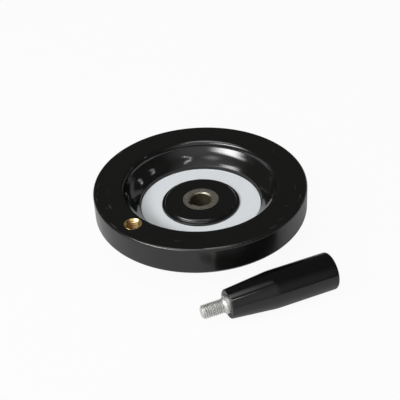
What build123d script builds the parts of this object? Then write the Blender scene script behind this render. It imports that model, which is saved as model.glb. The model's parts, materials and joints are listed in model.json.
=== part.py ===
from build123d import *
from math import cos, radians, sin
import os

# A disc handwheel with a revolving handle.
#
# A one-piece phenolic disc wheel is moulded round a keyed steel hub bush and a threaded brass
# insert, and a white trim ring lies in the floor of its dish. The handle that screws into the
# insert lies beside the wheel: a plated spindle with a threaded stud, and a phenolic grip that
# turns freely on it, held by a thrust washer and a retaining ring and closed by an end cap.
#
# Millimetres, +Z up. The origin is the centre of the bore in the plane of the hub's mounting
# face, which is also the plane that the wheel and the handle rest on.

# ---------------------------------------------------------------- wheel: driving dimensions
wheel_diameter = 160.0
wheel_height = 42.0  # mounting face of the hub to the front face of the rim
rim_height = 21.0
rim_back_width = 22.2
rim_shoulder_round = 2.0
rim_back_round = 3.0

lip_width = 23.4  # edge of the wheel to the inside of the lip
lip_round = 3.8
lip_drop = 4.7  # rim face down to where the wall of the dish starts
lip_foot_round = 0.4

# The wall of the dish is steep under the lip, flatter half way down and steeper again at its foot.
wall_top_run = 3.2
wall_top_drop = 4.3
wall_middle_run = 4.45
wall_middle_drop = 3.92
wall_bottom_run = 2.8
wall_bottom_drop = 3.06
wall_hollow_round = 18.0
wall_swell_round = 30.0
wall_edge_round = 0.8
web_thickness = 6.0
web_back_inset = 2.8  # from the inner edge of the rim's back in to the back of the web
web_corner_round = 4.0

ring_depth = 18.2  # rim face down to the top of the trim ring
ring_thickness = 1.2
ring_seat_draft = 0.55  # how much narrower, in radius, the seat is at its bottom
ring_seat_clearance = 0.2  # all round the outside of the ring
ring_hub_clearance = 0.15  # all round the inside of the ring
ring_edge_round = 0.3

hub_foot_diameter = 58.5
hub_foot_height = 0.9  # above the top of the trim ring
hub_foot_round = 0.3
hub_step = 3.3
hub_step_round = 0.8
hub_face_height = 3.3  # above the top of the trim ring
hub_face_round = 1.0
boss_diameter = 50.0
boss_draft = 1.0  # how much narrower, in radius, the boss is at its end
boss_root_round = 4.0
boss_end_round = 1.2

# ---------------------------------------------------------------- hub bush
bore_diameter = 16.0
bush_diameter = 27.0
bush_back_stand = 0.5  # steel proud of the moulding at the mounting face
bush_front_stand = 0.1
bush_bore_chamfer = 1.0
bush_edge_chamfer = 0.3
bush_groove_depth = 1.2
bush_groove_width = 8.0
keyway_width = 5.0
keyway_depth = 2.3
keyway_angle = 210.0

# ---------------------------------------------------------------- threaded insert
handle_thread_diameter = 10.0
thread_pitch = 1.5
insert_diameter = 13.6
insert_length = 18.0
insert_floor = 1.0  # brass under the blind hole
insert_edge_distance = 13.0  # edge of the wheel to the middle of the insert
insert_angle = 223.0
insert_rim_width = 0.7
insert_groove_depth = 0.8
insert_groove_width = 3.0

# ---------------------------------------------------------------- handle spindle
stud_length = 18.8  # tip of the stud to the end face of the grip
stud_tip_chamfer = 1.3
flare_length = 1.7
collar_diameter = 12.8
collar_reach = 1.8  # collar in front of the end face of the grip
collar_seat_depth = 2.4
shank_diameter = 8.0
shank_end_chamfer = 0.5
socket_across_flats = 4.0
socket_depth = 4.0

# ---------------------------------------------------------------- grip and what holds it
grip_length = 80.0
grip_small_diameter = 20.6
grip_barrel_diameter = 27.0
grip_cone_length = 33.5
grip_shoulder_round = 25.0
grip_small_round = 1.0
grip_big_round = 1.8
grip_bore_clearance = 0.05  # radial, between the shank and the bore of the grip
collar_recess_clearance = 0.5
end_play = 0.2  # at each end of the bearing
end_pocket_diameter = 16.0
end_pocket_depth = 6.4

washer_edge_clearance = 0.8  # all round the washer in the end pocket
washer_thickness = 1.0
washer_bore_clearance = 0.2
circlip_thickness = 1.0
circlip_groove_depth = 0.3
circlip_groove_play = 0.1
circlip_width = 1.7
circlip_gap = 1.4
circlip_lug_diameter = 3.0
circlip_lug_hole_diameter = 1.2
spindle_end_stand = 0.8  # shank beyond the retaining ring

cap_thickness = 1.6
cap_skirt_length = 1.2
cap_skirt_wall = 1.2
cap_edge_round = 0.4

# ---------------------------------------------------------------- where the handle lies
handle_front_gap = 24.1  # front of the wheel to the middle of the grip's small end
handle_side_offset = 13.8
handle_angle = 21.4

# ---------------------------------------------------------------- sizes worked out from them
wheel_radius = wheel_diameter / 2
rim_back_height = wheel_height - rim_height
rim_back_radius = wheel_radius - rim_back_width
lip_radius = wheel_radius - lip_width
wall_start_height = wheel_height - lip_drop
wall_hollow_radius = lip_radius - wall_top_run
wall_hollow_height = wall_start_height - wall_top_drop
wall_swell_radius = wall_hollow_radius - wall_middle_run
wall_swell_height = wall_hollow_height - wall_middle_drop
wall_edge_radius = wall_swell_radius - wall_bottom_run
wall_edge_height = wall_swell_height - wall_bottom_drop
ring_top_height = wheel_height - ring_depth
ring_seat_height = ring_top_height - ring_thickness
ring_seat_radius = wall_edge_radius - ring_seat_draft
ring_outer_radius = ring_seat_radius - ring_seat_clearance
web_back_radius = rim_back_radius - web_back_inset
web_back_height = ring_seat_height - web_thickness
hub_foot_radius = hub_foot_diameter / 2
hub_face_radius = hub_foot_radius - hub_step
hub_step_height = ring_top_height + hub_foot_height
hub_face_level = ring_top_height + hub_face_height

bore_radius = bore_diameter / 2
bush_radius = bush_diameter / 2
bush_front_level = hub_face_level + bush_front_stand
bush_groove_radius = bush_radius - bush_groove_depth
bush_groove_bottom = (bush_front_level - bush_groove_width) / 2
bush_groove_top = bush_groove_bottom + bush_groove_width

insert_radius = insert_diameter / 2
insert_bottom = wheel_height - insert_length
insert_hole_bottom = insert_bottom + insert_floor
insert_groove_bottom = wheel_height - (insert_length + insert_groove_width) / 2
insert_groove_top = insert_groove_bottom + insert_groove_width
insert_groove_radius = insert_radius - insert_groove_depth
tapped_hole_radius = handle_thread_diameter / 2 - thread_pitch / 2
insert_mouth_radius = insert_radius - insert_rim_width
insert_orbit_radius = wheel_radius - insert_edge_distance
insert_x = insert_orbit_radius * cos(radians(insert_angle))
insert_y = insert_orbit_radius * sin(radians(insert_angle))

stud_radius = handle_thread_diameter / 2
collar_radius = collar_diameter / 2
shank_radius = shank_diameter / 2
grip_bore_radius = shank_radius + grip_bore_clearance
collar_recess_radius = collar_radius + collar_recess_clearance
collar_recess_depth = collar_seat_depth + end_play
grip_barrel_radius = grip_barrel_diameter / 2
grip_small_radius = grip_small_diameter / 2
end_pocket_radius = end_pocket_diameter / 2
end_pocket_floor = grip_length - end_pocket_depth
washer_radius = end_pocket_radius - washer_edge_clearance
washer_start = end_pocket_floor + end_play
circlip_start = washer_start + washer_thickness
circlip_groove_radius = shank_radius - circlip_groove_depth
circlip_groove_end = circlip_start + circlip_thickness + circlip_groove_play
shank_end = circlip_groove_end + spindle_end_stand
cap_start = grip_length - cap_thickness - cap_edge_round

handle_direction = Vector(cos(radians(handle_angle)), sin(radians(handle_angle)), 0)
handle_root = Vector(handle_side_offset, -wheel_radius - handle_front_gap, grip_barrel_radius)
handle_side = Vector(handle_direction.Y, -handle_direction.X, 0)
handle_axis = Axis(handle_root, handle_direction)
# Local X runs along the handle from the small end of the grip, and local Y is the radius.
handle_plane = Plane(origin=handle_root, x_dir=handle_direction, z_dir=handle_side)


def across_handle(distance):
    """The plane square to the handle, at a distance from the grip's small end."""
    origin = handle_root + handle_direction * distance
    return Plane(origin=origin, x_dir=(0, 0, 1), z_dir=handle_direction)


def corner(sketch, x, y):
    """The corner of a profile that lies nearest to a point of its plane."""
    return sketch.vertices().sort_by_distance((x, y))[0]


os.makedirs("parts", exist_ok=True)

# ---------------------------------------------------------------- wheel body
with BuildPart() as wheel_body:
    with BuildSketch(Plane.XZ) as wheel_section:
        with BuildLine():
            Polyline(
                (bush_radius, bush_back_stand),
                (boss_diameter / 2 - boss_draft, bush_back_stand),
                (boss_diameter / 2, web_back_height),
                (web_back_radius, web_back_height),
                (rim_back_radius, rim_back_height),
                (wheel_radius, rim_back_height),
                (wheel_radius, wheel_height),
                (lip_radius, wheel_height),
                (lip_radius, wall_start_height),
                (wall_hollow_radius, wall_hollow_height),
                (wall_swell_radius, wall_swell_height),
                (wall_edge_radius, wall_edge_height),
                (ring_seat_radius, ring_seat_height),
                (hub_foot_radius, ring_seat_height),
                (hub_foot_radius, hub_step_height),
                (hub_face_radius, hub_step_height),
                (hub_face_radius, hub_face_level),
                (bush_radius, hub_face_level),
                (bush_radius, bush_groove_top),
                (bush_groove_radius, bush_groove_top),
                (bush_groove_radius, bush_groove_bottom),
                (bush_radius, bush_groove_bottom),
                close=True,
            )
        make_face()
        fillet(corner(wheel_section, boss_diameter / 2 - boss_draft, bush_back_stand), boss_end_round)
        fillet(corner(wheel_section, boss_diameter / 2, web_back_height), boss_root_round)
        fillet(corner(wheel_section, web_back_radius, web_back_height), web_corner_round)
        fillet(corner(wheel_section, rim_back_radius, rim_back_height), rim_back_round)
        fillet(corner(wheel_section, wheel_radius, rim_back_height), rim_shoulder_round)
        fillet(corner(wheel_section, wheel_radius, wheel_height), rim_shoulder_round)
        fillet(corner(wheel_section, lip_radius, wheel_height), lip_round)
        fillet(corner(wheel_section, lip_radius, wall_start_height), lip_foot_round)
        fillet(corner(wheel_section, wall_hollow_radius, wall_hollow_height), wall_hollow_round)
        fillet(corner(wheel_section, wall_swell_radius, wall_swell_height), wall_swell_round)
        fillet(corner(wheel_section, wall_edge_radius, wall_edge_height), wall_edge_round)
        fillet(corner(wheel_section, hub_foot_radius, hub_step_height), hub_foot_round)
        fillet(corner(wheel_section, hub_face_radius, hub_step_height), hub_step_round)
        fillet(corner(wheel_section, hub_face_radius, hub_face_level), hub_face_round)
    revolve(axis=Axis.Z)
    # The pocket that the brass insert fills, with the ridge that locks it.
    with BuildSketch(Plane.XY.offset(wheel_height)):
        with Locations((insert_x, insert_y)):
            Circle(insert_radius)
    extrude(amount=-insert_length, mode=Mode.SUBTRACT)
    with BuildSketch(Plane.XY.offset(insert_groove_bottom)):
        with Locations((insert_x, insert_y)):
            Circle(insert_radius)
            Circle(insert_groove_radius, mode=Mode.SUBTRACT)
    extrude(amount=insert_groove_width)
wheel_body.part.label = "wheel_body"
export_step(wheel_body.part, "parts/wheel_body.step")

# ---------------------------------------------------------------- hub bush
with BuildPart() as hub_bush:
    with BuildSketch(Plane.XZ) as bush_section:
        with BuildLine():
            Polyline(
                (bore_radius, 0),
                (bush_radius, 0),
                (bush_radius, bush_groove_bottom),
                (bush_groove_radius, bush_groove_bottom),
                (bush_groove_radius, bush_groove_top),
                (bush_radius, bush_groove_top),
                (bush_radius, bush_front_level),
                (bore_radius, bush_front_level),
                close=True,
            )
        make_face()
        chamfer(corner(bush_section, bore_radius, bush_front_level), bush_bore_chamfer)
        chamfer(corner(bush_section, bore_radius, 0), bush_bore_chamfer)
        chamfer(corner(bush_section, bush_radius, 0), bush_edge_chamfer)
    revolve(axis=Axis.Z)
    with BuildSketch():
        with Locations(Rotation(0, 0, keyway_angle)):
            Rectangle(bore_radius + keyway_depth, keyway_width, align=(Align.MIN, Align.CENTER))
    extrude(amount=bush_front_level, mode=Mode.SUBTRACT)
hub_bush.part.label = "hub_bush"
export_step(hub_bush.part, "parts/hub_bush.step")

# ---------------------------------------------------------------- trim ring
with BuildPart() as trim_ring:
    with BuildSketch(Plane.XY.offset(ring_seat_height)):
        Circle(ring_outer_radius)
        Circle(hub_foot_radius + ring_hub_clearance, mode=Mode.SUBTRACT)
    extrude(amount=ring_thickness)
    fillet(trim_ring.faces().sort_by(Axis.Z)[-1].edges(), ring_edge_round)
trim_ring.part.label = "trim_ring"
export_step(trim_ring.part, "parts/trim_ring.step")

# ---------------------------------------------------------------- threaded insert
insert_plane = Plane(origin=(insert_x, insert_y, 0), x_dir=(1, 0, 0), z_dir=(0, -1, 0))
with BuildPart() as threaded_insert:
    with BuildSketch(insert_plane):
        with BuildLine():
            Polyline(
                (0, insert_bottom),
                (insert_radius, insert_bottom),
                (insert_radius, insert_groove_bottom),
                (insert_groove_radius, insert_groove_bottom),
                (insert_groove_radius, insert_groove_top),
                (insert_radius, insert_groove_top),
                (insert_radius, wheel_height),
                (insert_mouth_radius, wheel_height),
                (tapped_hole_radius, wheel_height - (insert_mouth_radius - tapped_hole_radius)),
                (tapped_hole_radius, insert_hole_bottom),
                (0, insert_hole_bottom),
                close=True,
            )
        make_face()
    revolve(axis=Axis((insert_x, insert_y, 0), (0, 0, 1)))
threaded_insert.part.label = "threaded_insert"
export_step(threaded_insert.part, "parts/threaded_insert.step")

# ---------------------------------------------------------------- handle spindle
flare_start = -collar_reach - flare_length
with BuildPart() as handle_spindle:
    with BuildSketch(handle_plane) as spindle_section:
        with BuildLine():
            Polyline(
                (shank_end, 0),
                (-stud_length, 0),
                (-stud_length, stud_radius),
                (flare_start, stud_radius),
            )
            # The flare leaves the thread tangent to the stud and meets the rim of the collar.
            TangentArc((flare_start, stud_radius), (-collar_reach, collar_radius), tangent=(1, 0))
            Polyline(
                (-collar_reach, collar_radius),
                (collar_seat_depth, collar_radius),
                (collar_seat_depth, shank_radius),
                (circlip_start, shank_radius),
                (circlip_start, circlip_groove_radius),
                (circlip_groove_end, circlip_groove_radius),
                (circlip_groove_end, shank_radius),
                (shank_end, shank_radius),
                (shank_end, 0),
            )
        make_face()
        chamfer(corner(spindle_section, -stud_length, stud_radius), stud_tip_chamfer)
        chamfer(corner(spindle_section, shank_end, shank_radius), shank_end_chamfer)
    revolve(axis=handle_axis)
    # The hexagon socket that the handle is tightened by.
    with BuildSketch(across_handle(shank_end)):
        RegularPolygon(socket_across_flats / 2, 6, major_radius=False)
    extrude(amount=-socket_depth, mode=Mode.SUBTRACT)
handle_spindle.part.label = "handle_spindle"
export_step(handle_spindle.part, "parts/handle_spindle.step")

# ---------------------------------------------------------------- grip
with BuildPart() as grip:
    with BuildSketch(handle_plane) as grip_section:
        with BuildLine():
            Polyline(
                (0, collar_recess_radius),
                (0, grip_small_radius),
                (grip_cone_length, grip_barrel_radius),
                (grip_length, grip_barrel_radius),
                (grip_length, end_pocket_radius),
                (end_pocket_floor, end_pocket_radius),
                (end_pocket_floor, grip_bore_radius),
                (collar_recess_depth, grip_bore_radius),
                (collar_recess_depth, collar_recess_radius),
                close=True,
            )
        make_face()
        fillet(corner(grip_section, 0, grip_small_radius), grip_small_round)
        fillet(corner(grip_section, grip_cone_length, grip_barrel_radius), grip_shoulder_round)
        fillet(corner(grip_section, grip_length, grip_barrel_radius), grip_big_round)
    revolve(axis=handle_axis)
grip.part.label = "grip"
export_step(grip.part, "parts/grip.step")

# ---------------------------------------------------------------- thrust washer
with BuildPart() as thrust_washer:
    with BuildSketch(across_handle(washer_start)):
        Circle(washer_radius)
        Circle(shank_radius + washer_bore_clearance, mode=Mode.SUBTRACT)
    extrude(amount=washer_thickness)
thrust_washer.part.label = "thrust_washer"
export_step(thrust_washer.part, "parts/thrust_washer.step")

# ---------------------------------------------------------------- retaining ring
circlip_outer_radius = circlip_groove_radius + circlip_width
lug_offset = (circlip_gap + circlip_lug_diameter) / 2
lug_reach = circlip_groove_radius + circlip_lug_diameter / 2
with BuildPart() as retaining_ring:
    with BuildSketch(across_handle(circlip_start)):
        Circle(circlip_outer_radius)
        with Locations((lug_reach, lug_offset), (lug_reach, -lug_offset)):
            Circle(circlip_lug_diameter / 2)
        with Locations((lug_reach, lug_offset), (lug_reach, -lug_offset)):
            Circle(circlip_lug_hole_diameter / 2, mode=Mode.SUBTRACT)
        Circle(circlip_groove_radius, mode=Mode.SUBTRACT)
        Rectangle(
            circlip_groove_radius + circlip_lug_diameter,
            circlip_gap,
            align=(Align.MIN, Align.CENTER),
            mode=Mode.SUBTRACT,
        )
    extrude(amount=circlip_thickness)
retaining_ring.part.label = "retaining_ring"
export_step(retaining_ring.part, "parts/retaining_ring.step")

# ---------------------------------------------------------------- end cap
with BuildPart() as end_cap:
    with BuildSketch(across_handle(cap_start)):
        Circle(end_pocket_radius)
    extrude(amount=cap_thickness)
    with BuildSketch(across_handle(cap_start)):
        Circle(end_pocket_radius)
        Circle(end_pocket_radius - cap_skirt_wall, mode=Mode.SUBTRACT)
    extrude(amount=-cap_skirt_length)
    fillet(end_cap.faces().sort_by(handle_axis)[-1].edges(), cap_edge_round)
end_cap.part.label = "end_cap"
export_step(end_cap.part, "parts/end_cap.step")
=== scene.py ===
"""Finishes a dished machine handwheel and its revolving handle, and lights them on a pale floor."""

import json
import math

import bmesh
import bpy
from bpy.props import FloatProperty, FloatVectorProperty, IntProperty, PointerProperty
from mathutils import Matrix, Vector


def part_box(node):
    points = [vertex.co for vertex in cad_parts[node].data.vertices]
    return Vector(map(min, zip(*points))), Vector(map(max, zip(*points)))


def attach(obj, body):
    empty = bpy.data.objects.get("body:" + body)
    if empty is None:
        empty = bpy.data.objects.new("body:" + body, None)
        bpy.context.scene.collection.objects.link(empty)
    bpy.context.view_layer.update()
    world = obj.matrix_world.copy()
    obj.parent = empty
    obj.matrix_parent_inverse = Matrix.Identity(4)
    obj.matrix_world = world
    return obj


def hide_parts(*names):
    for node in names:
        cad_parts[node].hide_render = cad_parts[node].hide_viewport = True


bl_info = {
    "name": "Dished Handwheel",
    "version": (1, 0, 0),
    "blender": (4, 5, 0),
    "location": "View3D > Sidebar > Handwheel",
    "description": "Finishes a moulded handwheel with its bush, insert, trim ring and handle",
    "category": "Object",
}

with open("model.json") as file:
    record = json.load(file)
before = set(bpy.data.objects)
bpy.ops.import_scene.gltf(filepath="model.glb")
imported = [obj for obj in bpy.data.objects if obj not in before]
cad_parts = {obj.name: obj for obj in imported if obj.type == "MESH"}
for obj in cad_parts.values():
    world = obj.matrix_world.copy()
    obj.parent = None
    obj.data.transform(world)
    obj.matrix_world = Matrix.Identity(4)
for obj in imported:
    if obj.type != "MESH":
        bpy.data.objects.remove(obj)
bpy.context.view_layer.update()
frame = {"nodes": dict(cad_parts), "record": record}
nodes = frame["nodes"]
mounts = {mount["name"]: mount for mount in frame["record"]["mounts"]}
MM = 0.001

# The solid's hub
HUB_OUTSIDE = 29.3 * MM  # radius just past its foot
HUB_BASE = 24.35 * MM  # height just under its ledge
HUB_LEDGE_TOP = 25.6 * MM  # height just over the hollow round at the inner edge of its ledge
HUB_WALL = (24.9 * MM, 26.8 * MM)  # radii that enclose its edge, its wall and that hollow round
HUB_ROUND = 1.0 * MM  # of its edge
HUB_EDGE = (24.95 * MM, 26.1 * MM)  # radius and height of that round's centre

# How the shown hub departs from it
EDGE_FLATNESS = 0.65  # 0 is the round, 1 a plain chamfer
FACE_REACH = 1.05 * MM  # how much further out the face goes
LEDGE_RISE = 0.55 * MM  # less than the 0.6 mm of straight wall above the ledge, which it shortens

WHEEL_MIDDLE = 30 * MM  # height of the point that the lamps face
SMALLEST_FACE = 1e-13  # square metres; a face below it has been squashed flat

# Radii on the wheel at which a finish starts, is full, starts to fade and ends
FURROWED_WALL = (46 * MM, 48 * MM, 58 * MM, 60 * MM)
HIGHLIGHT_ARC_RIM = (66 * MM, 70 * MM, 78 * MM, 79 * MM)


# ------------------------------------------------------------------ sizes and colours


class MouldingSettings(bpy.types.PropertyGroup):
    """Colour and skin of the moulded pieces."""

    wheel_color: FloatVectorProperty(
        name="Wheel Color",
        description="Black of the moulded wheel",
        subtype="COLOR",
        size=3,
        min=0.0,
        max=1.0,
        default=(0.0070, 0.0070, 0.0065),
    )
    grip_color: FloatVectorProperty(
        name="Grip Color",
        description="Black of the moulded grip",
        subtype="COLOR",
        size=3,
        min=0.0,
        max=1.0,
        default=(0.0038, 0.0038, 0.0038),
    )
    gloss_roughness: FloatProperty(
        name="Gloss Roughness",
        description="Roughness of the polished mould's skin",
        min=0.0,
        max=1.0,
        default=0.08,
    )
    ring_color: FloatVectorProperty(
        name="Ring Color",
        description="White of the trim ring",
        subtype="COLOR",
        size=3,
        min=0.0,
        max=1.0,
        default=(0.79, 0.82, 0.84),
    )


class MetalSettings(bpy.types.PropertyGroup):
    """Colours of the turned metal pieces."""

    bush_color: FloatVectorProperty(
        name="Bush Color",
        description="Turned steel of the hub bush",
        subtype="COLOR",
        size=3,
        min=0.0,
        max=1.0,
        default=(0.50, 0.475, 0.40),
    )
    brass_color: FloatVectorProperty(
        name="Brass Color",
        description="Turned brass of the threaded insert",
        subtype="COLOR",
        size=3,
        min=0.0,
        max=1.0,
        default=(0.88, 0.64, 0.30),
    )
    zinc_color: FloatVectorProperty(
        name="Zinc Color",
        description="Zinc plating of the handle's spindle",
        subtype="COLOR",
        size=3,
        min=0.0,
        max=1.0,
        default=(0.85, 0.85, 0.83),
    )


class ThreadSettings(bpy.types.PropertyGroup):
    """Sizes of the thread that joins the handle to the wheel."""

    pitch: FloatProperty(
        name="Pitch",
        description="Distance from one crest of the thread to the next",
        unit="LENGTH",
        precision=5,
        default=1.5 * MM,
    )
    depth: FloatProperty(
        name="Depth",
        description="Depth of the thread from crest to root",
        unit="LENGTH",
        precision=5,
        default=0.92 * MM,
    )
    runout: FloatProperty(
        name="Runout",
        description="Length over which the thread fades at its blind end",
        unit="LENGTH",
        precision=5,
        default=1.2 * MM,
    )
    segments: IntProperty(
        name="Segments",
        description="Sides of a turned piece",
        min=24,
        default=128,
    )
    rings_per_pitch: IntProperty(
        name="Rings per Pitch",
        description="Rows of vertices along each turn of the thread",
        min=8,
        default=32,
    )


class StageSettings(bpy.types.PropertyGroup):
    """Camera and lights."""

    camera_azimuth: FloatProperty(
        name="Camera Azimuth",
        description="Side that the camera looks from",
        subtype="ANGLE",
        default=math.radians(270.0),
    )
    camera_elevation: FloatProperty(
        name="Camera Elevation",
        description="Height of the camera's view above the floor",
        subtype="ANGLE",
        default=math.radians(36.0),
    )
    camera_roll: FloatProperty(
        name="Camera Roll",
        description="Turn of the camera about its own line of sight",
        subtype="ANGLE",
        default=math.radians(-3.21),
    )
    camera_distance: FloatProperty(
        name="Camera Distance",
        description="Distance from the camera to the point it aims at",
        unit="LENGTH",
        precision=4,
        default=0.7106,
    )
    camera_lens: FloatProperty(
        name="Lens",
        description="Focal length on a 36 mm wide sensor",
        default=85.5,
    )
    camera_aim: FloatVectorProperty(
        name="Aim",
        description="Point at the middle of the picture",
        subtype="XYZ",
        unit="LENGTH",
        precision=4,
        size=3,
        default=(-0.0006, -0.0070, 0.0313),
    )
    key_strength: FloatProperty(
        name="Key Strength",
        description="Power of the strip softbox",
        unit="POWER",
        default=50.0,
    )
    fill_strength: FloatProperty(
        name="Fill Strength",
        description="Power of the broad overhead light",
        unit="POWER",
        default=14.0,
    )
    room_strength: FloatProperty(
        name="Room Strength",
        description="Brightness of the dark side of the room",
        min=0.0,
        default=0.05,
    )
    glow_strength: FloatProperty(
        name="Glow Strength",
        description="Brightness of the room's lit side, behind the camera",
        min=0.0,
        default=0.75,
    )
    floor_glow: FloatProperty(
        name="Floor Glow",
        description="Share of plain white in what the camera sees of the floor",
        min=0.0,
        max=1.0,
        default=0.94,
    )
    floor_gloss: FloatProperty(
        name="Floor in Gloss",
        description="How much of that white the glossy pieces show",
        min=0.0,
        max=1.0,
        default=0.095,
    )


# ------------------------------------------------------------------ shader groups


def node_group(name, inputs, outputs):
    """A shader node group with float sockets; returns the group, its input node and its output node."""
    group = bpy.data.node_groups.new(name, "ShaderNodeTree")
    for label, default in inputs:
        socket = group.interface.new_socket(label, in_out="INPUT", socket_type="NodeSocketFloat")
        socket.default_value = default
    for label, kind in outputs:
        group.interface.new_socket(label, in_out="OUTPUT", socket_type=kind)
    return group, group.nodes.new("NodeGroupInput"), group.nodes.new("NodeGroupOutput")


def link(tree, source, target):
    """Joins two sockets."""
    tree.links.new(source, target)


def scalar(tree, operation, *values, clamp=False):
    """A Math node fed by sockets or numbers; returns its output."""
    node = tree.nodes.new("ShaderNodeMath")
    node.operation = operation
    node.use_clamp = clamp
    for socket, value in zip(node.inputs, values):
        if isinstance(value, bpy.types.NodeSocket):
            link(tree, value, socket)
        else:
            socket.default_value = value
    return node.outputs[0]


def noise(tree, vector, scale, detail=2.0, roughness=0.5):
    """A Noise Texture; returns its value from 0 to 1."""
    node = tree.nodes.new("ShaderNodeTexNoise")
    node.inputs["Scale"].default_value = scale
    node.inputs["Detail"].default_value = detail
    node.inputs["Roughness"].default_value = roughness
    link(tree, vector, node.inputs["Vector"])
    return node.outputs["Fac"]


def spread(tree, value, low, high, start, end):
    """Maps value from low..high to start..end, without passing either."""
    node = tree.nodes.new("ShaderNodeMapRange")
    link(tree, value, node.inputs["Value"])
    for label, number in (("From Min", low), ("From Max", high), ("To Min", start), ("To Max", end)):
        if isinstance(number, bpy.types.NodeSocket):
            link(tree, number, node.inputs[label])
        else:
            node.inputs[label].default_value = number
    return node.outputs["Result"]


def band(tree, value, start, full, hold, end):
    """1 where value lies from full to hold, fading to 0 at start and at end."""
    rise = spread(tree, value, start, full, 0.0, 1.0)
    return scalar(tree, "MULTIPLY", rise, spread(tree, value, hold, end, 1.0, 0.0))


def distance_from_z(tree, split):
    """Distance of a separated vector from the Z axis."""
    squares = [scalar(tree, "POWER", split.outputs[axis], 2.0) for axis in "XY"]
    return scalar(tree, "SQRT", scalar(tree, "ADD", *squares))


def moulded_skin_group():
    """Slow waves, fine orange peel and a little dust, as on a polished compression moulding."""
    group, given, out = node_group(
        "moulded_skin",
        [("Wave", 1.0), ("Peel", 1.0), ("Dust", 1.0)],
        [("Height", "NodeSocketFloat"), ("Haze", "NodeSocketFloat"), ("Dust", "NodeSocketFloat")],
    )
    place = group.nodes.new("ShaderNodeTexCoord").outputs["Object"]
    slow = scalar(group, "ADD", noise(group, place, 38.0, 1.0), noise(group, place, 95.0, 0.0))
    wave = scalar(group, "MULTIPLY", slow, given.outputs["Wave"])
    peel = scalar(group, "MULTIPLY", noise(group, place, 900.0, 3.0), given.outputs["Peel"])
    fine = scalar(group, "MULTIPLY", peel, 0.03)
    link(group, scalar(group, "ADD", wave, fine), out.inputs["Height"])
    link(group, noise(group, place, 140.0, 4.0, 0.6), out.inputs["Haze"])
    cells = group.nodes.new("ShaderNodeTexVoronoi")
    cells.inputs["Scale"].default_value = 260.0
    link(group, place, cells.inputs["Vector"])
    speck = spread(group, cells.outputs["Distance"], 0.045, 0.02, 0.0, 1.0)
    patches = spread(group, noise(group, place, 60.0, 2.0), 0.52, 0.62, 0.0, 1.0)
    seen = scalar(group, "MULTIPLY", scalar(group, "MULTIPLY", speck, patches), given.outputs["Dust"])
    link(group, seen, out.inputs["Dust"])


def polar_group():
    """Noise that is drawn out round the Z axis or along it, for polishing furrows and for arcs of painted
    highlight.
    """
    group, given, out = node_group(
        "polar_marks",
        [("Around", 0.03), ("Outwards", 0.0), ("Upwards", 120.0)],
        [("Height", "NodeSocketFloat"), ("Radius", "NodeSocketFloat")],
    )
    split = group.nodes.new("ShaderNodeSeparateXYZ")
    link(group, group.nodes.new("ShaderNodeTexCoord").outputs["Object"], split.inputs[0])
    radius = distance_from_z(group, split)
    place = group.nodes.new("ShaderNodeCombineXYZ")
    step = scalar(group, "MULTIPLY", radius, given.outputs["Around"])
    for axis in "XY":
        link(group, scalar(group, "DIVIDE", split.outputs[axis], step), place.inputs[axis])
    outwards = scalar(group, "MULTIPLY", radius, given.outputs["Outwards"])
    upwards = scalar(group, "MULTIPLY", split.outputs["Z"], given.outputs["Upwards"])
    link(group, scalar(group, "ADD", outwards, upwards), place.inputs["Z"])
    link(group, noise(group, place.outputs[0], 1.0, 3.0), out.inputs["Height"])
    link(group, radius, out.inputs["Radius"])


def turning_group():
    """Rings that a lathe tool leaves about the Z axis of the vector given to it."""
    group, given, out = node_group(
        "turning_marks",
        [("Pitch", 0.0002)],
        [("Height", "NodeSocketFloat"), ("Streak", "NodeSocketFloat"), ("Radius", "NodeSocketFloat")],
    )
    socket = group.interface.new_socket("Vector", in_out="INPUT", socket_type="NodeSocketVector")
    split = group.nodes.new("ShaderNodeSeparateXYZ")
    link(group, given.outputs[socket.name], split.inputs[0])
    radius = distance_from_z(group, split)
    along = scalar(group, "ADD", radius, split.outputs["Z"])
    turns = scalar(group, "DIVIDE", along, given.outputs["Pitch"])
    for label, scale, detail in (("Height", 1.0, 2.0), ("Streak", 0.16, 3.0)):
        rings = group.nodes.new("ShaderNodeTexNoise")
        rings.noise_dimensions = "1D"
        rings.inputs["Scale"].default_value = scale
        rings.inputs["Detail"].default_value = detail
        link(group, turns, rings.inputs["W"])
        link(group, rings.outputs["Fac"], out.inputs[label])
    link(group, radius, out.inputs["Radius"])


def place_group(tree, group, **values):
    """Adds a shader group to a tree, with its inputs set by name."""
    node = tree.nodes.new("ShaderNodeGroup")
    node.node_tree = group
    for label, value in values.items():
        node.inputs[label].default_value = value
    return node


def new_material(name):
    """An empty node material; returns it with its tree and its Principled shader."""
    material = bpy.data.materials.new(name)
    material.use_nodes = True
    return material, material.node_tree, material.node_tree.nodes["Principled BSDF"]


def mix_color(tree, factor, first, second):
    """Mixes two colours, each a tuple or a socket."""
    node = tree.nodes.new("ShaderNodeMix")
    node.data_type = "RGBA"
    link(tree, factor, node.inputs["Factor"])
    for socket, color in ((node.inputs[6], first), (node.inputs[7], second)):
        if isinstance(color, bpy.types.NodeSocket):
            link(tree, color, socket)
        else:
            socket.default_value = (*color, 1.0)
    return node.outputs[2]


def bump(tree, height, distance, strength=1.0):
    """Turns a height into a normal."""
    node = tree.nodes.new("ShaderNodeBump")
    node.inputs["Distance"].default_value = distance
    node.inputs["Strength"].default_value = strength
    link(tree, height, node.inputs["Height"])
    return node.outputs["Normal"]


def shade(color, factor):
    """A colour made lighter or darker."""
    return tuple(channel * factor for channel in color)


def object_place(tree, location=(0.0, 0.0, 0.0), rotation=(0.0, 0.0, 0.0)):
    """Object coordinates seen from a piece's own centre and axis."""
    mapping = tree.nodes.new("ShaderNodeMapping")
    mapping.vector_type = "TEXTURE"
    mapping.inputs["Location"].default_value = location
    mapping.inputs["Rotation"].default_value = rotation
    coordinates = tree.nodes.new("ShaderNodeTexCoord")
    link(tree, coordinates.outputs["Object"], mapping.inputs["Vector"])
    return mapping.outputs["Vector"]


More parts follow.
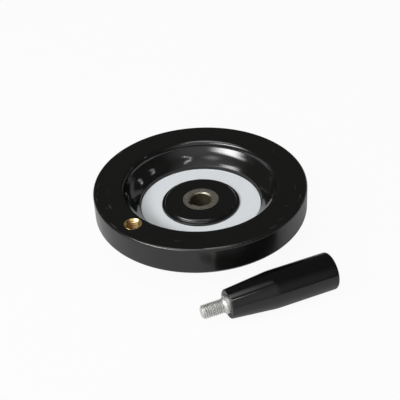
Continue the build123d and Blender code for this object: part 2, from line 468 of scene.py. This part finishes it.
# ------------------------------------------------------------------ materials


def phenolic(name, color, roughness, wave, zones=()):
    """Black compression-moulded phenolic with a polished skin. Zones are (inner radius, outer radius, added
    roughness) of what the polish doesn't reach; a piece with zones is centred on the Z axis, and also gets
    the wheel's polishing furrows and arcs of painted highlight near the rim's outer edge."""
    material, tree, shader = new_material(name)
    skin = place_group(tree, bpy.data.node_groups["moulded_skin"], Wave=wave, Peel=1.0, Dust=0.35)
    body = mix_color(tree, skin.outputs["Haze"], shade(color, 0.8), shade(color, 1.25))
    body = mix_color(tree, skin.outputs["Dust"], body, (0.12, 0.12, 0.11))
    rough = spread(tree, skin.outputs["Haze"], 0.3, 0.7, roughness * 0.85, roughness * 1.2)
    height = skin.outputs["Height"]
    if zones:
        polar = bpy.data.node_groups["polar_marks"]
        furrows = place_group(tree, polar, Around=0.03, Outwards=0.0, Upwards=120.0)
        radius = furrows.outputs["Radius"]
        hollow = scalar(tree, "MULTIPLY", band(tree, radius, *FURROWED_WALL), 0.4)
        height = scalar(tree, "ADD", height, scalar(tree, "MULTIPLY", furrows.outputs["Height"], hollow))
        # Painted highlight: a few arcs near the rim's outer edge are coloured a lighter grey, as streaks of
        # reflected light.
        sheen_arc_noise = place_group(tree, polar, Around=0.22, Outwards=650.0, Upwards=0.0)
        arcs = spread(tree, sheen_arc_noise.outputs["Height"], 0.66, 0.76, 0.0, 0.75)
        arcs = scalar(tree, "MULTIPLY", arcs, band(tree, radius, *HIGHLIGHT_ARC_RIM))
        body = mix_color(tree, arcs, body, (0.10, 0.10, 0.095))
        fade = 0.2 * MM
        for inner, outer, dull_and_root_shade in zones:
            inside = band(tree, radius, inner - fade, inner, outer, outer + fade)
            rough = scalar(tree, "ADD", rough, scalar(tree, "MULTIPLY", inside, dull_and_root_shade))
    link(tree, body, shader.inputs["Base Color"])
    link(tree, rough, shader.inputs["Roughness"])
    link(tree, bump(tree, height, 0.08 * MM), shader.inputs["Normal"])
    shader.inputs["IOR"].default_value = 1.6
    return material


def satin_white(name, color):
    """White satin plastic, faintly mottled and a little dusty."""
    material, tree, shader = new_material(name)
    skin = place_group(tree, bpy.data.node_groups["moulded_skin"], Wave=0.6, Peel=3.0, Dust=0.25)
    body = mix_color(tree, skin.outputs["Haze"], shade(color, 0.97), shade(color, 1.02))
    link(tree, mix_color(tree, skin.outputs["Dust"], body, (0.42, 0.42, 0.40)), shader.inputs["Base Color"])
    link(tree, spread(tree, skin.outputs["Haze"], 0.3, 0.7, 0.42, 0.52), shader.inputs["Roughness"])
    link(tree, bump(tree, skin.outputs["Height"], 0.00004), shader.inputs["Normal"])
    shader.inputs["IOR"].default_value = 1.49
    return material


def turned_metal(
    name,
    color,
    roughness,
    pitch,
    location=(0.0, 0.0, 0.0),
    rotation=(0.0, 0.0, 0.0),
    dark_bore=None,
    root_shade_radii=None,
    relief=1.0,
    mottle=0.0,
):
    """Turned metal with tool rings about its axis. Optional arguments give the (radius, colour) of a bore
    coloured darker out to a ragged edge; the radii of a thread's root, whose groove is painted darker as
    painted shade, and of its crest, where that painted shade has faded out; the strength of the rings; and
    that of a dark grain."""
    material, tree, shader = new_material(name)
    marks = place_group(tree, bpy.data.node_groups["turning_marks"], Pitch=pitch)
    place = object_place(tree, location, rotation)
    link(tree, place, marks.inputs["Vector"])
    skin = place_group(tree, bpy.data.node_groups["moulded_skin"], Wave=1.0, Peel=1.0, Dust=0.0)
    body = mix_color(tree, marks.outputs["Streak"], shade(color, 0.78), shade(color, 1.18))
    body = mix_color(tree, spread(tree, skin.outputs["Haze"], 0.4, 0.75, 0.0, 0.6), body, shade(color, 0.7))
    if mottle:
        grain = spread(tree, noise(tree, place, 620.0, 3.0, 0.6), 0.4, 0.62, 0.0, mottle)
        body = mix_color(tree, grain, body, shade(color, 0.35))
    # Painted shade: a thread's groove is coloured darker towards its root, fading out towards the crest.
    if root_shade_radii:
        root, crest = root_shade_radii
        dull_and_root_shade = band(tree, marks.outputs["Radius"], root - 0.4 * MM, root - 0.2 * MM, root, crest)
        body = mix_color(tree, dull_and_root_shade, body, shade(color, 0.72))
    rough = spread(tree, marks.outputs["Streak"], 0.3, 0.7, roughness * 0.8, roughness * 1.2)
    # The bore is coloured darker and browner, out to a ragged edge.
    if dark_bore:
        radius, tint = dark_bore
        ragged = spread(tree, noise(tree, place, 420.0, 4.0, 0.7), 0.5, 0.72, 0.0, 1.4 * MM)
        reach = scalar(tree, "SUBTRACT", marks.outputs["Radius"], ragged)
        edge = 0.15 * MM
        inside = spread(tree, reach, radius + edge, radius - edge, 0.0, 1.0)
        body = mix_color(tree, inside, body, tint)
        rough = scalar(tree, "ADD", rough, scalar(tree, "MULTIPLY", inside, 0.15))
    link(tree, body, shader.inputs["Base Color"])
    link(tree, rough, shader.inputs["Roughness"])
    link(tree, bump(tree, marks.outputs["Height"], pitch * 0.12, relief), shader.inputs["Normal"])
    shader.inputs["Metallic"].default_value = 1.0
    return material


def cover(node_name, material):
    """Gives a CAD node its finish."""
    mesh = nodes[node_name].data
    mesh.materials.clear()
    mesh.materials.append(material)


# ------------------------------------------------------------------ wheel


def edge_angle(radius, height):
    """The angle at which a point lies on the round of the hub's edge, or None for any other point."""
    across, up = radius - HUB_EDGE[0], height - HUB_EDGE[1]
    slack = 0.02 * MM
    if abs(math.hypot(across, up) - HUB_ROUND) < slack and min(across, up) > -slack / 2:
        return math.atan2(up, across)
    return None


def hub_shift(radius, height):
    """How far a point of the solid's hub moves outwards and upwards: its face reaches further out with a
    flatter edge, and the ledge round it stands higher."""
    if radius > HUB_OUTSIDE or height < HUB_BASE:
        return 0.0, 0.0
    outwards = FACE_REACH if HUB_WALL[0] < radius < HUB_WALL[1] else 0.0
    upwards = LEDGE_RISE if radius > HUB_WALL[0] and height < HUB_LEDGE_TOP else 0.0
    angle = edge_angle(radius, height)
    if angle is not None:
        along = angle / math.radians(90)
        outwards += EDGE_FLATNESS * (HUB_EDGE[0] + HUB_ROUND * (1 - along) - radius)
        upwards += EDGE_FLATNESS * (HUB_EDGE[1] + HUB_ROUND * along - height)
    return outwards, upwards


def flatter_normal(normal):
    """The normal of the hub's round turned towards the slope of its flatter edge."""
    rise = math.asin(max(-1.0, min(1.0, normal.z)))
    rise += EDGE_FLATNESS * (math.radians(45) - rise)
    level = Vector((normal.x, normal.y, 0.0)).normalized() * math.cos(rise)
    return (level.x, level.y, math.sin(rise))


def shaped_wheel():
    """A closed copy of the wheel's solid with its hub drawn out, keeping the solid's normals elsewhere."""
    source = nodes["wheel_body"].data
    normals = [tuple(corner.vector) for corner in source.corner_normals]
    for face in source.polygons:
        corners = [source.vertices[index].co for index in face.vertices]
        angles = [edge_angle(math.hypot(co.x, co.y), co.z) for co in corners]
        if None not in angles and 0.02 < face.normal.z < 0.998:
            for loop in face.loop_indices:
                normals[loop] = flatter_normal(Vector(normals[loop]))
    mesh = bmesh.new()
    mesh.from_mesh(source)
    bmesh.ops.remove_doubles(mesh, verts=mesh.verts, dist=1e-7)
    for vertex in mesh.verts:
        radius = math.hypot(vertex.co.x, vertex.co.y)
        outwards, upwards = hub_shift(radius, vertex.co.z)
        if outwards:
            vertex.co.xy *= 1.0 + outwards / radius
        vertex.co.z += upwards
    if any(face.calc_area() < SMALLEST_FACE for face in mesh.faces):
        raise RuntimeError("The wheel's new shape squashes some of its faces flat")
    data = bpy.data.meshes.new("moulded_wheel")
    mesh.to_mesh(data)
    mesh.free()
    if len(data.loops) != len(normals):
        raise RuntimeError("The wheel's copy lost faces when it was merged")
    data.shade_smooth()
    data.normals_split_custom_set(normals)
    wheel = bpy.data.objects.new("moulded_wheel", data)
    bpy.context.scene.collection.objects.link(wheel)
    return wheel


# ------------------------------------------------------------------ turned pieces


def divided(profile, start, end, step):
    """The profile with its run from start to end cut into short rows, ready for a thread."""
    rows = []
    for (t0, r0), (t1, r1) in zip(profile, profile[1:]):
        rows.append((t0, r0))
        inside = start <= min(t0, t1) and max(t0, t1) <= end
        if inside and abs(t1 - t0) > step:
            count = math.ceil(abs(t1 - t0) / step)
            rows += [
                (t0 + (t1 - t0) * i / count, r0 + (r1 - r0) * i / count) for i in range(1, count)
            ]
    rows.append(profile[-1])
    return rows


def turned(name, profile, origin, axis, side, segments, hexagon=()):
    """A closed mesh turned about an axis. The profile is (distance along the axis, radius) and starts and
    ends on the axis; rows named in hexagon are six-sided, and their radius is half the flats."""
    across = axis.cross(side)
    mesh = bmesh.new()
    rows = []
    for index, (t, r) in enumerate(profile):
        centre = origin + axis * t
        if r == 0.0:
            rows.append([mesh.verts.new(centre)])
            continue
        row = []
        for k in range(segments):
            angle = 2 * math.pi * k / segments
            reach = r
            if index in hexagon:
                reach = r / math.cos((angle + math.pi / 6) % (math.pi / 3) - math.pi / 6)
            row.append(mesh.verts.new(centre + (side * math.cos(angle) + across * math.sin(angle)) * reach))
        rows.append(row)
    for low, high in zip(rows, rows[1:]):
        for k in range(segments):
            after = (k + 1) % segments
            if len(low) == 1:
                mesh.faces.new((low[0], high[after], high[k]))
            elif len(high) == 1:
                mesh.faces.new((low[k], low[after], high[0]))
            else:
                mesh.faces.new((low[k], low[after], high[after], high[k]))
    bmesh.ops.recalc_face_normals(mesh, faces=mesh.faces)
    data = bpy.data.meshes.new(name)
    mesh.to_mesh(data)
    mesh.free()
    piece = bpy.data.objects.new(name, data)
    bpy.context.scene.collection.objects.link(piece)
    return piece


# ------------------------------------------------------------------ thread


class ThreadTree:
    """Builds the Geometry Nodes tree that cuts a helical thread into a turned wall."""

    def __init__(self, name):
        self.tree = bpy.data.node_groups.new(name, "GeometryNodeTree")
        self.sockets = {}
        self.tree.interface.new_socket("Geometry", in_out="OUTPUT", socket_type="NodeSocketGeometry")
        for label, kind in (
            ("Geometry", "NodeSocketGeometry"),
            ("Origin", "NodeSocketVector"),
            ("Axis", "NodeSocketVector"),
            ("Side", "NodeSocketVector"),
            ("Pitch", "NodeSocketFloat"),
            ("Depth", "NodeSocketFloat"),
            ("Crest Radius", "NodeSocketFloat"),
            ("Start", "NodeSocketFloat"),
            ("End", "NodeSocketFloat"),
            ("Runout", "NodeSocketFloat"),
            ("Inward", "NodeSocketFloat"),
            ("Material", "NodeSocketMaterial"),
        ):
            socket = self.tree.interface.new_socket(label, in_out="INPUT", socket_type=kind)
            self.sockets[label] = socket.identifier
        self.given = self.tree.nodes.new("NodeGroupInput").outputs
        self.build()

    def number(self, operation, *values, clamp=False):
        return scalar(self.tree, operation, *values, clamp=clamp)

    def vector(self, operation, *values, output=0):
        node = self.tree.nodes.new("ShaderNodeVectorMath")
        node.operation = operation
        for socket, value in zip((s for s in node.inputs if s.enabled), values):
            link(self.tree, value, socket)
        return node.outputs[output]

    def scaled(self, vector, factor):
        node = self.tree.nodes.new("ShaderNodeVectorMath")
        node.operation = "SCALE"
        link(self.tree, vector, node.inputs[0])
        link(self.tree, factor, node.inputs["Scale"])
        return node.outputs[0]

    def build(self):
        tree, given, number = self.tree, self.given, self.number
        place = tree.nodes.new("GeometryNodeInputPosition").outputs[0]
        offset = self.vector("SUBTRACT", place, given["Origin"])
        along = self.vector("DOT_PRODUCT", offset, given["Axis"], output=1)
        foot = self.scaled(given["Axis"], along)
        spoke = self.vector("SUBTRACT", offset, foot)
        radius = self.vector("LENGTH", spoke, output=1)
        third = self.vector("CROSS_PRODUCT", given["Axis"], given["Side"])
        x = self.vector("DOT_PRODUCT", spoke, given["Side"], output=1)
        y = self.vector("DOT_PRODUCT", spoke, third, output=1)
        turn = number("DIVIDE", number("ARCTAN2", y, x), 2 * math.pi)
        phase = number("FRACT", number("SUBTRACT", number("DIVIDE", along, given["Pitch"]), turn))
        ridge = number("MULTIPLY", number("ABSOLUTE", number("SUBTRACT", phase, 0.5)), 2.0)
        # The crest is an eighth of the pitch wide and the root a quarter, with straight flanks between.
        flank = number("DIVIDE", number("SUBTRACT", 0.875, ridge), 0.625, clamp=True)
        left = number("DIVIDE", number("SUBTRACT", given["End"], along), given["Runout"], clamp=True)
        cut = number("MULTIPLY", number("MULTIPLY", flank, left), given["Depth"])
        signed = number("MULTIPLY", cut, given["Inward"])
        thread = number("SUBTRACT", given["Crest Radius"], signed)
        # Inward is 1 for a stud, which keeps the smaller radius, and -1 for a hole, which keeps the larger.
        flipped = number("MULTIPLY", thread, given["Inward"])
        kept = number("MINIMUM", flipped, number("MULTIPLY", radius, given["Inward"]))
        wanted = number("MULTIPLY", kept, given["Inward"])
        ratio = number("DIVIDE", wanted, number("MAXIMUM", radius, 1e-6))
        moved = self.vector("ADD", self.vector("ADD", given["Origin"], foot), self.scaled(spoke, ratio))
        after = number("GREATER_THAN", along, given["Start"])
        before = number("LESS_THAN", along, given["End"])
        wall = number("GREATER_THAN", radius, number("MULTIPLY", given["Crest Radius"], 0.6))
        chosen = number("MULTIPLY", number("MULTIPLY", after, before), wall)
        shift = tree.nodes.new("GeometryNodeSetPosition")
        link(tree, given["Geometry"], shift.inputs["Geometry"])
        link(tree, chosen, shift.inputs["Selection"])
        link(tree, moved, shift.inputs["Position"])
        real = tree.nodes.new("GeometryNodeRealizeInstances")
        link(tree, shift.outputs["Geometry"], real.inputs["Geometry"])
        finish = tree.nodes.new("GeometryNodeSetMaterial")
        link(tree, real.outputs["Geometry"], finish.inputs["Geometry"])
        link(tree, given["Material"], finish.inputs["Material"])
        out = tree.nodes.new("NodeGroupOutput")
        link(tree, finish.outputs["Geometry"], out.inputs["Geometry"])

    def cut(self, piece, material, **sizes):
        """Runs the tree on a piece and keeps the result as its plain mesh."""
        modifier = piece.modifiers.new("thread", "NODES")
        modifier.node_group = self.tree
        for label, value in sizes.items():
            modifier[self.sockets[label.replace("_", " ")]] = value
        modifier[self.sockets["Material"]] = material
        bpy.context.view_layer.update()
        graph = bpy.context.evaluated_depsgraph_get()
        result = bpy.data.meshes.new_from_object(piece.evaluated_get(graph), depsgraph=graph)
        piece.modifiers.remove(modifier)
        piece.data = result
        result.name = piece.name
        result.shade_smooth()
        result.set_sharp_from_angle(angle=math.radians(40))


def thread_tree():
    """The one thread-cutting tree that both threads share."""
    if not hasattr(thread_tree, "built"):
        thread_tree.built = ThreadTree("cut_thread")
    return thread_tree.built


# ------------------------------------------------------------------ operators


class HANDWHEEL_OT_groups(bpy.types.Operator):
    """Build the shader groups that the finishes share"""

    bl_idname = "handwheel.groups"
    bl_label = "Shader Groups"

    def execute(self, context):
        moulded_skin_group()
        polar_group()
        turning_group()
        return {"FINISHED"}


class HANDWHEEL_OT_mouldings(bpy.types.Operator):
    """Finish the moulded wheel, the grip and the grip's end cap"""

    bl_idname = "handwheel.mouldings"
    bl_label = "Wheel and Grip"

    def execute(self, context):
        settings = context.scene.handwheel_moulding
        rough = settings.gloss_roughness
        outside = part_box("wheel_body")[1].x
        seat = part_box("trim_ring")[1].x
        # The outer side is trimmed of its flash, and the wall of the ring's seat is left as moulded.
        zones = ((outside - 1.8 * MM, outside + MM, 0.12), (seat, seat + 0.9 * MM, 0.4))
        finish = phenolic("wheel phenolic", settings.wheel_color, rough, 1.0, zones)
        cover("wheel_body", finish)
        wheel = shaped_wheel()
        wheel.data.materials.clear()
        wheel.data.materials.append(finish)
        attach(wheel, "wheel")
        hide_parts("wheel_body")
        cover("grip", phenolic("grip phenolic", settings.grip_color, rough * 0.8, 0.6))
        cover("end_cap", phenolic("cap plastic", (0.02, 0.02, 0.02), 0.38, 0.5))
        return {"FINISHED"}


class HANDWHEEL_OT_trim_ring(bpy.types.Operator):
    """Finish the white ring in the floor of the dish"""

    bl_idname = "handwheel.trim_ring"
    bl_label = "Trim Ring"

    def execute(self, context):
        cover("trim_ring", satin_white("trim ring white", context.scene.handwheel_moulding.ring_color))
        return {"FINISHED"}


class HANDWHEEL_OT_hub_bush(bpy.types.Operator):
    """Finish the turned steel bush in the hub"""

    bl_idname = "handwheel.hub_bush"
    bl_label = "Hub Bush"

    def execute(self, context):
        settings = context.scene.handwheel_metal
        bore = mounts["shaft_bore"]["dims"]["r_mm"] * MM
        steel = turned_metal(
            "bush steel",
            settings.bush_color,
            roughness=0.5,
            pitch=0.25 * MM,
            dark_bore=(bore + 0.1 * MM, (0.14, 0.12, 0.07)),
            mottle=0.6,
        )
        cover("hub_bush", steel)
        return {"FINISHED"}


class HANDWHEEL_OT_insert(bpy.types.Operator):
    """Turn the brass insert and cut the thread in its hole"""

    bl_idname = "handwheel.threaded_insert"
    bl_label = "Threaded Insert"

    def execute(self, context):
        thread = context.scene.handwheel_thread
        hole = mounts["handle_socket"]
        low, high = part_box("threaded_insert")
        outside = (high.x - low.x) / 2
        tapping = hole["dims"]["r_mm"] * MM
        length = hole["dims"]["length_mm"] * MM
        middle = Vector(hole["pos_m"])
        bottom = middle.z - length / 2
        top = middle.z + length / 2
        mouth = tapping + (high.z - top)
        ridge = (high.z + low.z) / 2
        half_groove = 1.5 * MM
        groove_floor = outside - 0.8 * MM
        chamfer = 0.1 * MM
        profile = [
            (low.z, 0.0),
            (low.z, outside),
            (ridge - half_groove, outside),
            (ridge - half_groove, groove_floor),
            (ridge + half_groove, groove_floor),
            (ridge + half_groove, outside),
            (high.z - chamfer, outside),
            (high.z, outside - chamfer),
            (high.z, mouth),
            (top, tapping),
            (bottom, tapping),
            (bottom, 0.0),
        ]
        # The rows run down the hole, so the fine ones start at the mouth.
        rows = profile[:8] + divided(profile[8:], bottom, high.z, thread.pitch / thread.rings_per_pitch)
        axis = Vector((0, 0, 1))
        side = Vector((1, 0, 0))
        origin = Vector((middle.x, middle.y, 0.0))
        insert = turned("brass_insert", rows, origin, axis, side, thread.segments)
        brass = turned_metal(
            "insert brass", context.scene.handwheel_metal.brass_color, 0.27, 0.18 * MM, location=origin
        )
        thread_tree().cut(
            insert,
            brass,
            Origin=origin,
            Axis=-axis,
            Side=side,
            Pitch=thread.pitch,
            Depth=thread.depth,
            Crest_Radius=tapping,
            Start=-high.z - MM,
            End=-bottom - 0.4 * MM,
            Runout=thread.runout,
            Inward=-1.0,
        )
        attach(insert, "wheel")
        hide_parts("threaded_insert")
        return {"FINISHED"}


class HANDWHEEL_OT_spindle(bpy.types.Operator):
    """Turn the handle's spindle and cut the thread on its stud"""

    bl_idname = "handwheel.spindle"
    bl_label = "Handle Spindle"

    def execute(self, context):
        thread = context.scene.handwheel_thread
        stud = mounts["handle_stud"]
        axis = -Vector(stud["axis"]).normalized()
        side = Vector((0, 0, 1))
        radius = stud["dims"]["r_mm"] * MM
        full = stud["dims"]["length_mm"] * MM
        # Distances are from the end of the full thread, beside the chamfer of the tip.
        origin = Vector(stud["pos_m"]) - axis * (full / 2)
        chamfer = 1.3 * MM
        collar = 6.4 * MM
        shank = 4.0 * MM
        seat = full + 3.5 * MM
        flare = 1.7 * MM
        collar_front = seat - 1.6 * MM
        collar_back = seat + 2.4 * MM
        groove = seat + 74.8 * MM
        groove_end = groove + 1.1 * MM
        groove_floor = shank - 0.3 * MM
        end = groove + 1.9 * MM
        end_chamfer = 0.5 * MM
        key_half_flats = 2.0 * MM
        key_floor = end - 4.0 * MM
        profile = [(-chamfer, 0.0), (-chamfer, radius - chamfer), (0.0, radius)]
        # The flare leaves the thread along it and ends at the rim of the collar.
        bend = (flare**2 + (collar - radius) ** 2) / (2 * (collar - radius))
        sweep = math.asin(flare / bend)
        steps = 8
        for step in range(steps + 1):
            turn = sweep * step / steps
            profile.append((full + bend * math.sin(turn), radius + bend * (1 - math.cos(turn))))
        profile += [
            (collar_front, collar),
            (collar_back, collar),
            (collar_back, shank),
            (groove, shank),
            (groove, groove_floor),
            (groove_end, groove_floor),
            (groove_end, shank),
            (end - end_chamfer, shank),
            (end, shank - end_chamfer),
            (end, key_half_flats),
            (key_floor, key_half_flats),
            (key_floor, 0.0),
        ]
        rows = divided(profile, -chamfer, full, thread.pitch / thread.rings_per_pitch)
        key_socket = (len(rows) - 3, len(rows) - 2)
        spindle = turned("plated_spindle", rows, origin, axis, side, thread.segments, key_socket)
        zinc = turned_metal(
            "spindle zinc",
            context.scene.handwheel_metal.zinc_color,
            roughness=0.52,
            pitch=0.2 * MM,
            location=origin,
            rotation=axis.to_track_quat("Z", "Y").to_euler(),
            # Painted shade darkens the grooves of the thread.
            root_shade_radii=(radius - thread.depth, radius - 0.1 * MM),
            relief=0.05,
        )
        thread_tree().cut(
            spindle,
            zinc,
            Origin=origin,
            Axis=axis,
            Side=side,
            Pitch=thread.pitch,
            Depth=thread.depth,
            Crest_Radius=radius,
            Start=-chamfer - MM,
            End=full,
            Runout=thread.runout,
            Inward=1.0,
        )
        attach(spindle, "wheel")
        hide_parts("handle_spindle")
        return {"FINISHED"}


class HANDWHEEL_OT_fastenings(bpy.types.Operator):
    """Finish the washer and the retaining ring inside the grip"""

    bl_idname = "handwheel.fastenings"
    bl_label = "Washer and Retaining Ring"

    def execute(self, context):
        along = -Vector(mounts["handle_stud"]["axis"])
        turn = along.to_track_quat("Z", "Y").to_euler()
        centre = Vector(mounts["handle_stud"]["pos_m"])
        plated = turned_metal("washer zinc", (0.62, 0.62, 0.60), 0.3, 0.3 * MM, centre, turn)
        spring = turned_metal("spring steel", (0.16, 0.16, 0.17), 0.35, 0.4 * MM, centre, turn)
        cover("thrust_washer", plated)
        cover("retaining_ring", spring)
        return {"FINISHED"}


def direction(azimuth, elevation):
    """The unit vector that points to an azimuth and an elevation, both in radians."""
    level = math.cos(elevation)
    return Vector((level * math.cos(azimuth), level * math.sin(azimuth), math.sin(elevation)))


def feather(light, left, right, bottom, top):
    """Fades a softbox towards its edges, each over a share of its width or height."""
    light.use_nodes = True
    tree = light.node_tree
    split = tree.nodes.new("ShaderNodeSeparateXYZ")
    link(tree, tree.nodes.new("ShaderNodeNewGeometry").outputs["Parametric"], split.inputs[0])
    across, up = split.outputs["X"], split.outputs["Y"]
    strength = None
    for place, edge, full in (
        (across, 0.0, left),
        (across, 1.0, 1.0 - right),
        (up, 0.0, bottom),
        (up, 1.0, 1.0 - top),
    ):
        fade = spread(tree, place, edge, full, 0.0, 1.0)
        fade.node.interpolation_type = "SMOOTHSTEP"
        strength = scalar(tree, "MULTIPLY", strength, fade) if strength else fade
    link(tree, strength, tree.nodes["Emission"].inputs["Strength"])


def softbox(name, azimuth, elevation, distance, width, height, power, fades=(0.3,) * 4, roll=0.0):
    """An area light that faces the handwheel from a direction given in degrees. It fades over shares of
    its left, right, lower and upper edges."""
    light = bpy.data.lights.new(name, "AREA")
    light.shape = "RECTANGLE"
    light.size = width
    light.size_y = height
    light.energy = power
    feather(light, *fades)
    lamp = bpy.data.objects.new(name, light)
    outward = direction(math.radians(azimuth), math.radians(elevation))
    lamp.location = Vector((0.0, 0.0, WHEEL_MIDDLE)) + outward * distance
    turn = outward.to_track_quat("Z", "Y").to_matrix() @ Matrix.Rotation(math.radians(roll), 3, "Z")
    lamp.rotation_euler = turn.to_euler()
    lamp.visible_camera = False
    bpy.context.scene.collection.objects.link(lamp)


def shown_directly(tree, gloss_share):
    """1 for what the camera sees straight, and gloss_share for what it sees in a gloss or through glass."""
    path = tree.nodes.new("ShaderNodeLightPath")
    bent = scalar(tree, "MAXIMUM", path.outputs["Is Glossy Ray"], path.outputs["Is Transmission Ray"])
    return scalar(tree, "MAXIMUM", path.outputs["Is Camera Ray"], scalar(tree, "MULTIPLY", bent, gloss_share))


def floor_material(white_share, gloss_share):
    """Pale floor that is shown white and keeps a soft shadow."""
    material, tree, shader = new_material("pale floor")
    mottle = noise(tree, object_place(tree), 30.0, 3.0)
    link(tree, mix_color(tree, mottle, (0.64, 0.64, 0.64), (0.68, 0.68, 0.68)), shader.inputs["Base Color"])
    shader.inputs["Roughness"].default_value = 0.9
    shader.inputs["Specular IOR Level"].default_value = 0.1
    glow = tree.nodes.new("ShaderNodeEmission")
    mix = tree.nodes.new("ShaderNodeMixShader")
    link(tree, scalar(tree, "MULTIPLY", shown_directly(tree, gloss_share), white_share), mix.inputs["Fac"])
    link(tree, shader.outputs["BSDF"], mix.inputs[1])
    link(tree, glow.outputs["Emission"], mix.inputs[2])
    glow.inputs["Strength"].default_value = 1.0
    link(tree, mix.outputs["Shader"], tree.nodes["Material Output"].inputs["Surface"])
    return material


class HANDWHEEL_OT_stage(bpy.types.Operator):
    """Set up the floor, the lights, the room and the camera"""

    bl_idname = "handwheel.stage"
    bl_label = "Stage"

    def floor(self, settings):
        disc = bmesh.new()
        bmesh.ops.create_circle(disc, cap_ends=True, segments=96, radius=3.0)
        mesh = bpy.data.meshes.new("floor")
        disc.to_mesh(mesh)
        disc.free()
        mesh.transform(Matrix.Translation((0.0, 0.0, -0.2 * MM)))
        mesh.materials.append(floor_material(settings.floor_glow, settings.floor_gloss))
        floor = bpy.data.objects.new("floor", mesh)
        bpy.context.scene.collection.objects.link(floor)

    def room(self, dark, glow):
        world = bpy.data.worlds.new("dim room")
        bpy.context.scene.world = world
        world.use_nodes = True
        tree = world.node_tree
        shown = tree.nodes["Background"]
        shown.inputs["Color"].default_value = (1.0, 1.0, 1.0, 1.0)
        # The lit side is a soft patch low behind the camera.
        facing = tree.nodes.new("ShaderNodeVectorMath")
        facing.operation = "DOT_PRODUCT"
        link(tree, tree.nodes.new("ShaderNodeTexCoord").outputs["Generated"], facing.inputs[0])
        azimuth, elevation, width = (math.radians(angle) for angle in (250.0, 20.0, 75.0))
        facing.inputs[1].default_value = direction(azimuth, elevation)
        patch = spread(tree, facing.outputs["Value"], math.cos(width), 1.0, dark, glow)
        patch.node.interpolation_type = "SMOOTHSTEP"
        link(tree, patch, shown.inputs["Strength"])
        white = tree.nodes.new("ShaderNodeBackground")
        white.inputs["Color"].default_value = (1.0, 1.0, 1.0, 1.0)
        mix = tree.nodes.new("ShaderNodeMixShader")
        path = tree.nodes.new("ShaderNodeLightPath")
        link(tree, path.outputs["Is Camera Ray"], mix.inputs["Fac"])
        link(tree, shown.outputs[0], mix.inputs[1])
        link(tree, white.outputs[0], mix.inputs[2])
        link(tree, mix.outputs[0], tree.nodes["World Output"].inputs["Surface"])

    def camera(self, settings):
        data = bpy.data.cameras.new("camera")
        data.lens = settings.camera_lens
        data.sensor_width = 36.0
        data.clip_start = 0.01
        camera = bpy.data.objects.new("camera", data)
        outward = direction(settings.camera_azimuth, settings.camera_elevation)
        look = outward.to_track_quat("Z", "Y").to_matrix() @ Matrix.Rotation(settings.camera_roll, 3, "Z")
        place = Vector(settings.camera_aim) + outward * settings.camera_distance
        camera.matrix_world = Matrix.LocRotScale(place, look, None)
        bpy.context.scene.collection.objects.link(camera)
        bpy.context.scene.camera = camera

    def execute(self, context):
        settings = context.scene.handwheel_stage
        self.floor(settings)
        self.room(settings.room_strength, settings.glow_strength)
        self.camera(settings)
        key, fill = settings.key_strength, settings.fill_strength
        # Direction in degrees, then distance and size in metres and power in watts
        softbox("key strip", 220, 40.5, 1.6, 1.9, 0.46, key, fades=(0.45, 0.55, 0.1, 0.55))
        softbox("overhead fill", 205, 80, 1.5, 1.2, 1.2, fill)
        softbox("window", 296, 60, 1.5, 0.11, 0.42, 0.9, roll=35)
        softbox("far wall", 45, 12, 1.8, 1.4, 0.5, 0.8)
        softbox("far lamp", 6, 42, 1.6, 0.1, 0.18, 0.28)
        softbox("low lamp", 29, 28, 1.6, 0.08, 0.18, 0.22)
        context.scene.view_settings.view_transform = "Standard"
        return {"FINISHED"}


class HANDWHEEL_PT_panel(bpy.types.Panel):
    """Steps that finish the handwheel, in order"""

    bl_idname = "HANDWHEEL_PT_panel"
    bl_label = "Handwheel"
    bl_space_type = "VIEW_3D"
    bl_region_type = "UI"
    bl_category = "Handwheel"

    def draw(self, context):
        for operator in OPERATORS:
            self.layout.operator(operator.bl_idname)


OPERATORS = (
    HANDWHEEL_OT_groups,
    HANDWHEEL_OT_mouldings,
    HANDWHEEL_OT_trim_ring,
    HANDWHEEL_OT_hub_bush,
    HANDWHEEL_OT_insert,
    HANDWHEEL_OT_spindle,
    HANDWHEEL_OT_fastenings,
    HANDWHEEL_OT_stage,
)
SETTINGS = {
    "handwheel_moulding": MouldingSettings,
    "handwheel_metal": MetalSettings,
    "handwheel_thread": ThreadSettings,
    "handwheel_stage": StageSettings,
}
CLASSES = (*SETTINGS.values(), *OPERATORS, HANDWHEEL_PT_panel)


def register():
    for cls in CLASSES:
        bpy.utils.register_class(cls)
    for name, group in SETTINGS.items():
        setattr(bpy.types.Scene, name, PointerProperty(type=group))


def unregister():
    for name in SETTINGS:
        delattr(bpy.types.Scene, name)
    for cls in reversed(CLASSES):
        bpy.utils.unregister_class(cls)


def main():
    register()
    bpy.ops.handwheel.groups()
    bpy.ops.handwheel.mouldings()
    bpy.ops.handwheel.trim_ring()
    bpy.ops.handwheel.hub_bush()
    bpy.ops.handwheel.threaded_insert()
    bpy.ops.handwheel.spindle()
    bpy.ops.handwheel.fastenings()
    bpy.ops.handwheel.stage()


if __name__ == "__main__":
    main()
